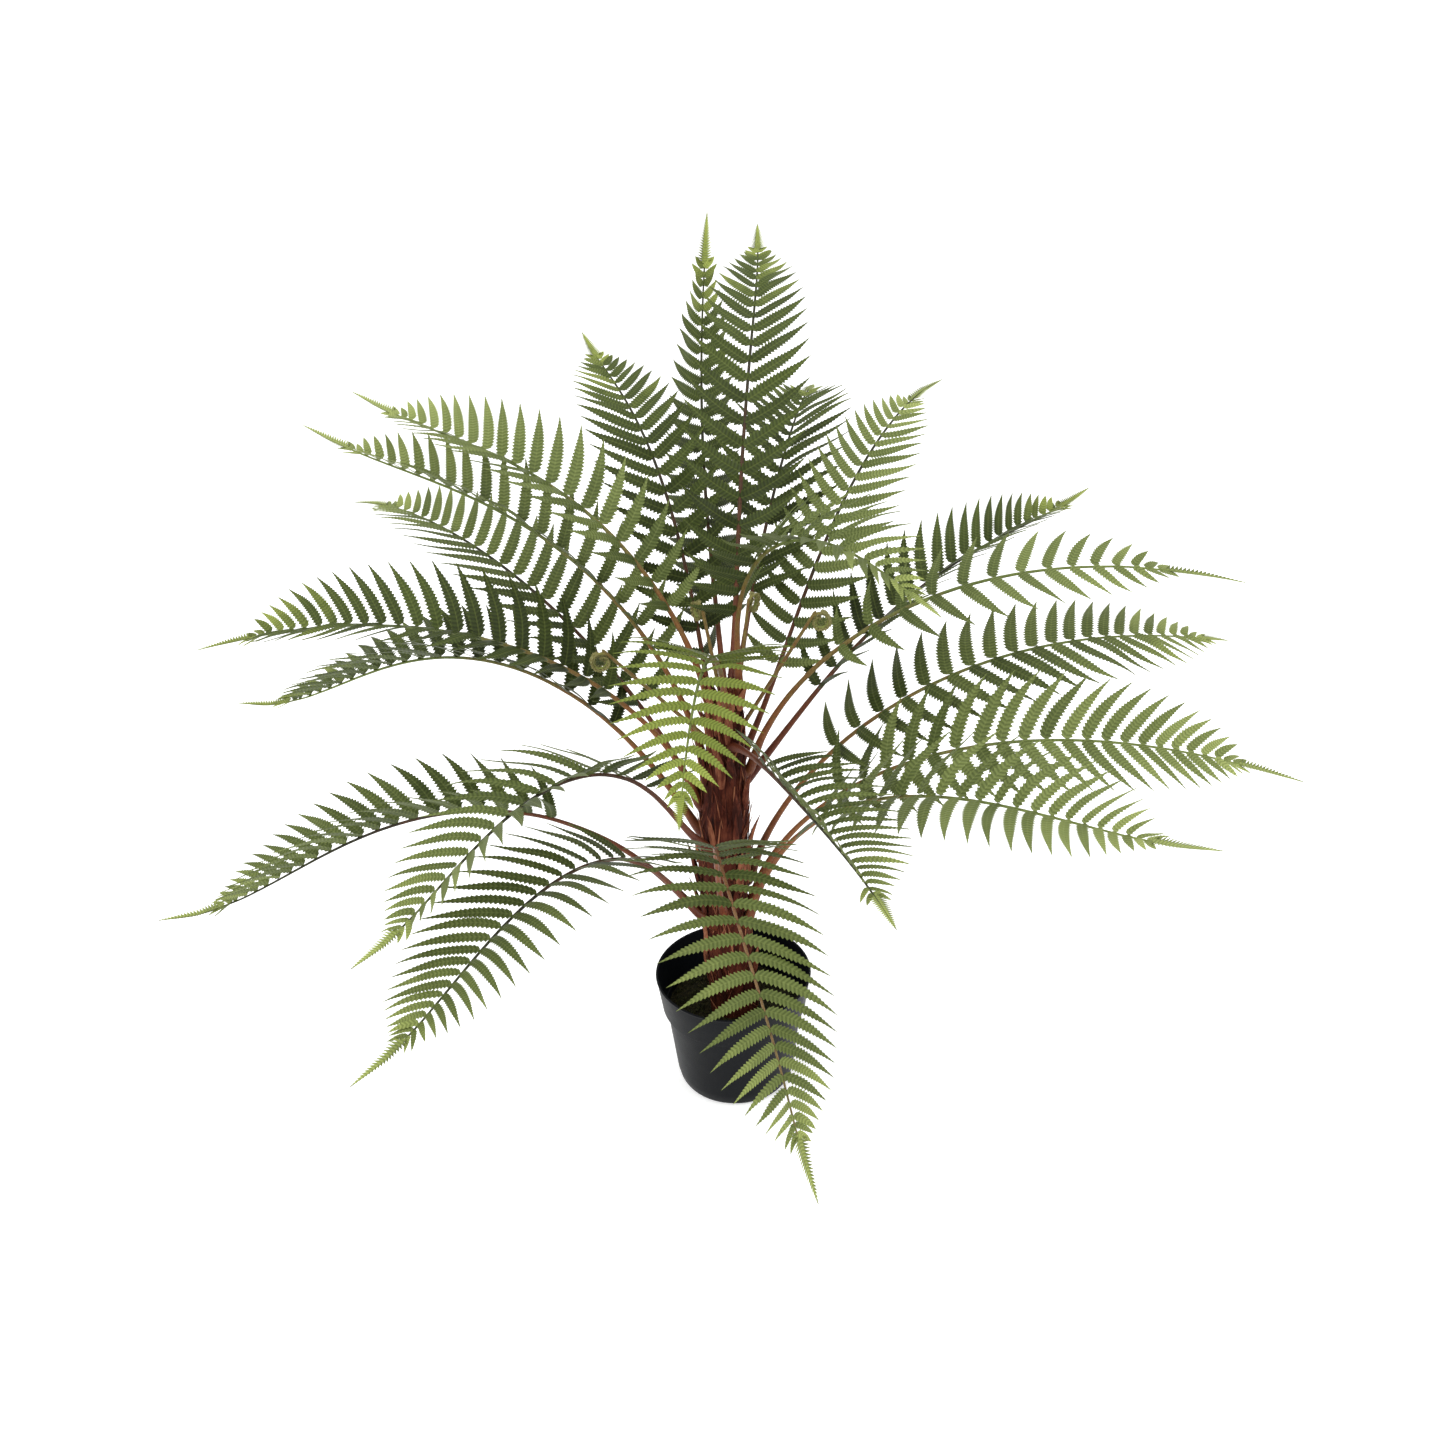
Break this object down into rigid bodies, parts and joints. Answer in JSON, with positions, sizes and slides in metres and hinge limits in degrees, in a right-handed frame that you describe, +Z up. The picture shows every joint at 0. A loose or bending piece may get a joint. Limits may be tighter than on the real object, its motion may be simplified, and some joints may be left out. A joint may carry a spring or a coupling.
{
  "type": "potted tree fern",
  "caption": "Tree fern on a slim fibrous trunk in a tapered round pot, with arching pinnate fronds in loose tiers and young coiled fronds at the crown.",
  "frame": {"origin": "centre of the pot's flat base, on the surface that it stands on", "axes": "+Z up along the pot's axis; the front of the plant faces -Y and +X is to its right"},
  "size_m": [1.1641, 0.9221, 0.8311],
  "materials": {
    "pot": "satin black, thin moulded wall",
    "soil": "rough weighted fill",
    "moss": "rough, fibrous",
    "trunk": "coarse red-brown fibre",
    "stalk": "satin, red-brown at the foot and green further out",
    "blade": "matte leaf with a low sheen",
    "crozier": "pale green with whitish fuzz"
  },
  "bodies": {
    "root": {"pot": "pot", "soil": "soil", "moss": "moss", "trunk": "trunk", "frond_01_stalk": "stalk", "frond_01_blade": "blade", "frond_02_stalk": "stalk", "frond_02_blade": "blade", "frond_03_stalk": "stalk", "frond_03_blade": "blade", "frond_04_stalk": "stalk", "frond_04_blade": "blade", "frond_05_stalk": "stalk", "frond_05_blade": "blade", "frond_06_stalk": "stalk", "frond_06_blade": "blade", "frond_07_stalk": "stalk", "frond_07_blade": "blade", "frond_08_stalk": "stalk", "frond_08_blade": "blade", "frond_09_stalk": "stalk", "frond_09_blade": "blade", "frond_10_stalk": "stalk", "frond_10_blade": "blade", "frond_11_stalk": "stalk", "frond_11_blade": "blade", "frond_12_stalk": "stalk", "frond_12_blade": "blade", "frond_13_stalk": "stalk", "frond_13_blade": "blade", "frond_14_stalk": "stalk", "frond_14_blade": "blade", "frond_15_stalk": "stalk", "frond_15_blade": "blade", "frond_16_stalk": "stalk", "frond_16_blade": "blade", "frond_17_stalk": "stalk", "frond_17_blade": "blade", "frond_18_stalk": "stalk", "frond_18_blade": "blade", "frond_19_stalk": "stalk", "frond_19_blade": "blade", "frond_20_stalk": "stalk", "frond_20_blade": "blade", "frond_21_stalk": "stalk", "frond_21_blade": "blade", "frond_22_stalk": "stalk", "frond_22_blade": "blade", "crozier_1": "crozier", "crozier_2": "crozier", "crozier_3": "crozier", "crozier_4": "crozier"}
  },
  "joints": []
}
